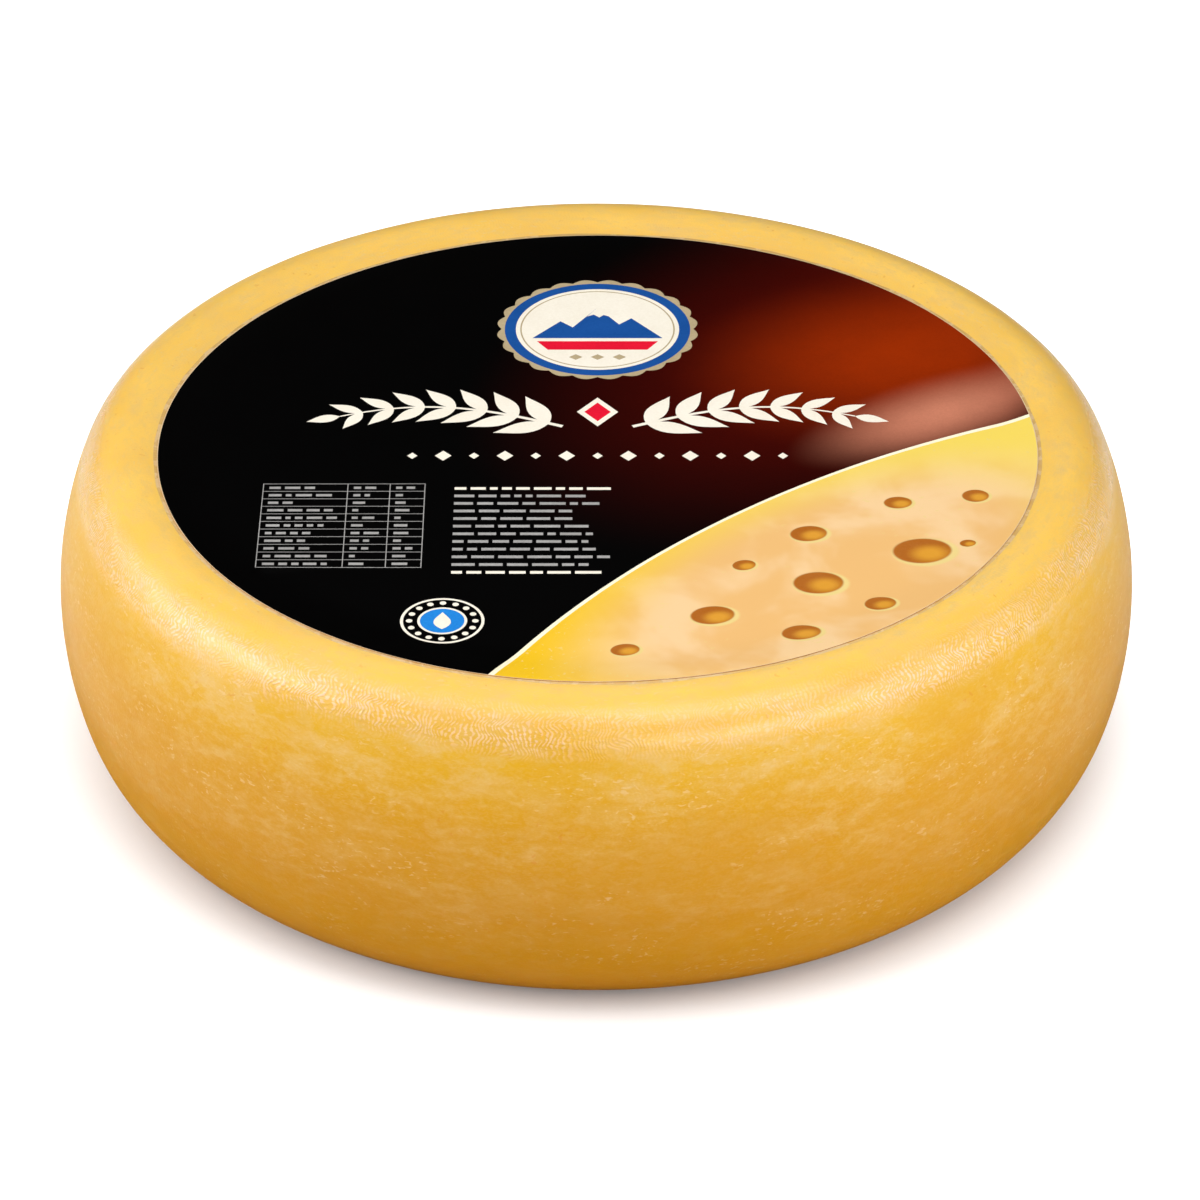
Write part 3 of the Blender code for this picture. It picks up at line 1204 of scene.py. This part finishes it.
def make_bead():
    rings = []
    for step in range(BEAD_STEPS + 1):
        share = step / BEAD_STEPS
        ring = []
        for segment in range(BEAD_SEGMENTS):
            turn = math.tau * segment / BEAD_SEGMENTS
            wander = noise.noise(Vector((9 * math.cos(turn), 9 * math.sin(turn), 3.3)))
            swell = noise.noise(Vector((40 * math.cos(turn), 40 * math.sin(turn), 8.1)))
            width = BEAD_WIDTH * (1.0 + 0.45 * wander)
            height = BEAD_HEIGHT * (0.85 + 0.30 * swell)
            radius = LABEL_RADIUS - BEAD_INSET + width * share
            x = LABEL_CENTRE.x + radius * math.cos(turn)
            y = LABEL_CENTRE.y + radius * math.sin(turn)
            lift = height * (1.0 - share ** 1.6) - BEAD_SINK
            ring.append((x, y, skin_height(x, y) + lift))
        rings += ring
    return new_piece("coating_bead", rings, ring_faces(BEAD_STEPS + 1, BEAD_SEGMENTS))


bead = make_bead()
print("bead:", len(bead.data.polygons), "quads")

# %% [markdown]
# ## Bead material
# It is the same coating as on the rind, only thicker, so it is paler and shinier.

# %% Bead material
BEAD_PALE = (0.74, 0.50, 0.24)
BEAD_DEEP = (0.70, 0.42, 0.13)
BEAD_ROUGHNESS = (0.18, 0.32)
BEAD_RIDGES = 0.04 * MM


def make_bead_material():
    material, tree, shader = new_material("coating_thick")
    place = add(tree, "ShaderNodeTexCoord").outputs["Object"]
    clouds = use_group(tree, patches_group, place, Size=0.006, Detail=3.0, Low=0.4, High=0.62)
    join(tree, mix_colours(tree, clouds["Mask"], BEAD_DEEP, BEAD_PALE),
         shader.inputs["Base Color"])
    rough = map_range(tree, clouds["Mask"], 0.0, 1.0, *BEAD_ROUGHNESS)
    join(tree, rough, shader.inputs["Roughness"])
    set_sockets(shader, Subsurface_Weight=0.2, Subsurface_Radius=(1.0, 0.6, 0.3),
                Subsurface_Scale=2 * MM, Coat_Weight=0.6, Coat_Roughness=0.12)
    ridges = use_group(tree, ridges_group, place, Grain=place, Waves_Round=650.0,
                       Curl_Size=0.006, Curl_Waves=6.0, Peel_Size=0.0008, Peel_Share=0.6)
    add_bump(tree, shader, ridges["Height"], BEAD_RIDGES)
    return material


bead.data.materials.append(make_bead_material())
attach(bead, "root")
print("bead material ready")

# %% [markdown]
# ## Floor
# The wheel stands on a plain white sweep. A white floor throws much light back up at the belly,
# which would wash its amber out, so studios put a darker card close by, out of sight. Here the
# floor does both. The camera sees it white beyond the soft shadow at the foot. For camera rays it
# also glows, from nothing near the wheel to full further out: painted light that whitens the floor
# and shapes the outer edge of the shadow. Other rays meet a warm amber card near the wheel, which
# turns pale further out.

# %% Floor
FLOOR_HALF = 6.0
FLOOR_DROP = 0.2 * MM
FLOOR_SEEN = 0.73
CARD_NEAR = (0.42, 0.30, 0.12)
CARD_FAR = (0.80, 0.77, 0.72)
CARD_EDGE = (168 * MM, 235 * MM)
PAINTED_GLOW_RADII = (142 * MM, 190 * MM)
PAINTED_GLOW_STRENGTH = 0.8


def make_floor():
    corners = bar_outline(-FLOOR_HALF, -FLOOR_HALF, 2 * FLOOR_HALF, 2 * FLOOR_HALF)
    floor = new_piece("floor", [(x, y, 0.0) for x, y in corners], [(0, 1, 2, 3)])
    floor.location.z = -FLOOR_DROP
    material, tree, shader = new_material("floor_white")
    radius = add(tree, "ShaderNodeVectorMath", operation="LENGTH")
    join(tree, add(tree, "ShaderNodeTexCoord").outputs["Object"], radius.inputs[0])
    radius = radius.outputs["Value"]
    seen = add(tree, "ShaderNodeLightPath").outputs["Is Camera Ray"]
    card = mix_colours(tree, map_range(tree, radius, *CARD_EDGE, smooth=True), CARD_NEAR, CARD_FAR)
    join(tree, mix_colours(tree, seen, card, (FLOOR_SEEN, FLOOR_SEEN, FLOOR_SEEN)),
         shader.inputs["Base Color"])
    # painted light: for camera rays the floor glows more the further it lies from the wheel, fading
    # the shadow out
    glow = times(tree, map_range(tree, radius, *PAINTED_GLOW_RADII, 0.0, PAINTED_GLOW_STRENGTH), seen)
    join(tree, mix_colours(tree, glow, (0.0, 0.0, 0.0), (1.0, 1.0, 1.0)),
         shader.inputs["Emission Color"])
    set_sockets(shader, Emission_Strength=1.0, Roughness=0.9, Specular_IOR_Level=0.0)
    floor.data.materials.append(material)
    return floor


floor = make_floor()
print("floor", 2 * FLOOR_HALF, "m square")

# %% [markdown]
# ## Lights
# A glossy edge shows the boxes that light it. Two long low ones, to the left and to the right
# front and less than thirty degrees above level, make the highlights on the shoulder. Low square
# ones light the sides, two high ones the top face, and a weak one behind keeps the far rim clear.
# All of them stand the same distance from the middle of the wheel and face it.

# %% Lights
LIGHT_DISTANCE = 1.6
SQUARE = (0.9, 0.9)


def soft_box(name, azimuth, elevation, size, power):
    """An area light that faces the wheel. Azimuth 0 is the camera's side, 90 its right."""
    data = bpy.data.lights.new(name, "AREA")
    data.shape = "RECTANGLE"
    data.size, data.size_y = size
    data.energy = power
    light = bpy.data.objects.new(name, data)
    turn, rise = math.radians(azimuth), math.radians(elevation)
    way = Vector((math.sin(turn) * math.cos(rise), -math.cos(turn) * math.cos(rise),
                  math.sin(rise)))
    light.location = middle + way * LIGHT_DISTANCE
    light.rotation_mode = "QUATERNION"
    light.rotation_quaternion = (-way).to_track_quat("-Z", "Y")
    bpy.context.scene.collection.objects.link(light)


soft_box("left key", -70, 27, (1.0, 0.34), 7)
soft_box("left low", -85, 14, SQUARE, 7.5)
soft_box("left side", -110, 25, SQUARE, 5.5)
soft_box("left high", -60, 62, SQUARE, 6)
soft_box("right strip", 30, 19, (1.3, 0.45), 8.5)
soft_box("right high", 34, 66, SQUARE, 11)
soft_box("right low", 70, 22, SQUARE, 9)
soft_box("back", 180, 55, SQUARE, 2)
print("soft boxes at", LIGHT_DISTANCE, "m")

# %% [markdown]
# ## World
# Beyond the floor the camera sees plain white. Other rays meet a much weaker white, a faint fill
# for the shadows, so that the black print stays black. Light Path tells the two kinds apart.

# %% World
FILL_STRENGTH = 0.05


def make_world():
    world = bpy.data.worlds.new("white studio")
    world.use_nodes = True
    tree = world.node_tree
    tree.nodes.clear()
    white = (1.0, 1.0, 1.0, 1.0)
    fill = add(tree, "ShaderNodeBackground", Color=white, Strength=FILL_STRENGTH)
    seen = add(tree, "ShaderNodeBackground", Color=white, Strength=1.0)
    rays = add(tree, "ShaderNodeLightPath")
    choose = add(tree, "ShaderNodeMixShader")
    output = add(tree, "ShaderNodeOutputWorld")
    join(tree, rays.outputs["Is Camera Ray"], choose.inputs[0])
    join(tree, fill.outputs[0], choose.inputs[1])
    join(tree, seen.outputs[0], choose.inputs[2])
    join(tree, choose.outputs[0], output.inputs[0])
    bpy.context.scene.world = world


make_world()
bpy.context.scene.view_settings.view_transform = "Standard"
bpy.context.scene.view_settings.look = "None"
print("world fill", FILL_STRENGTH)
